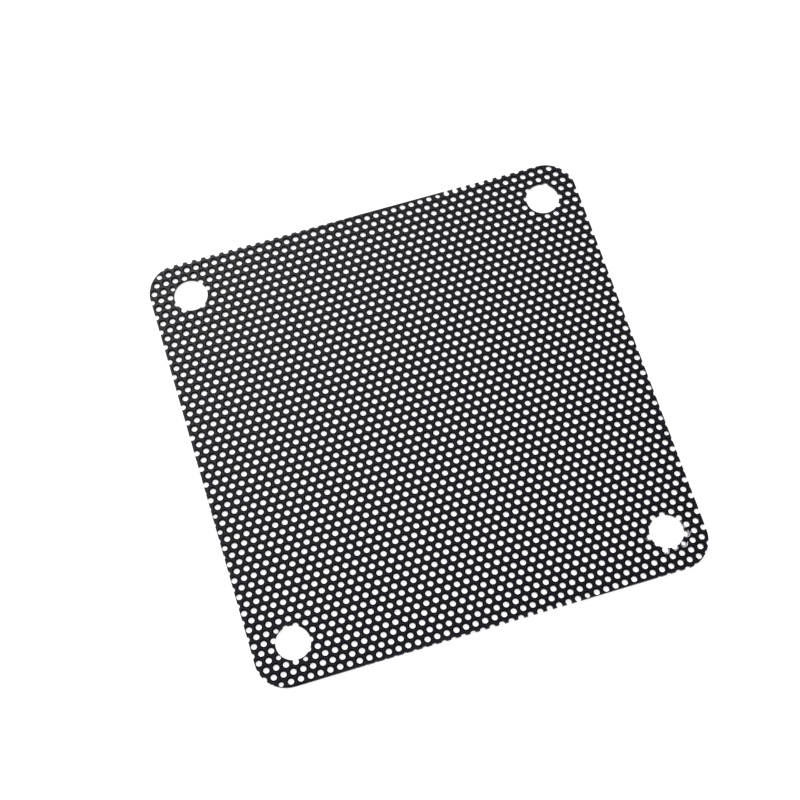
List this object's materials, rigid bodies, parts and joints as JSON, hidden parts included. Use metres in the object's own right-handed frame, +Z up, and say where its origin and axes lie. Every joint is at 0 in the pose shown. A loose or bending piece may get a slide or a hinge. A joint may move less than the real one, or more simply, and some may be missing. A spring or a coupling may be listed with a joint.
{
  "type": "fan dust filter",
  "caption": "Thin square sheet of finely perforated dark plastic with round corners and a screw hole near each corner, laid over a small cooling fan to keep dust out.",
  "frame": {"origin": "centre of the sheet's underside", "axes": "+Z up out of the upper face; the screw holes stand on a square along X and Y"},
  "size_m": [0.06, 0.06, 0.0004],
  "materials": {
    "charcoal_pvc": "semi-matte calendered plastic sheet, near black with a faint cool tint"
  },
  "bodies": {
    "root": {"filter_sheet": "charcoal_pvc"}
  },
  "joints": []
}
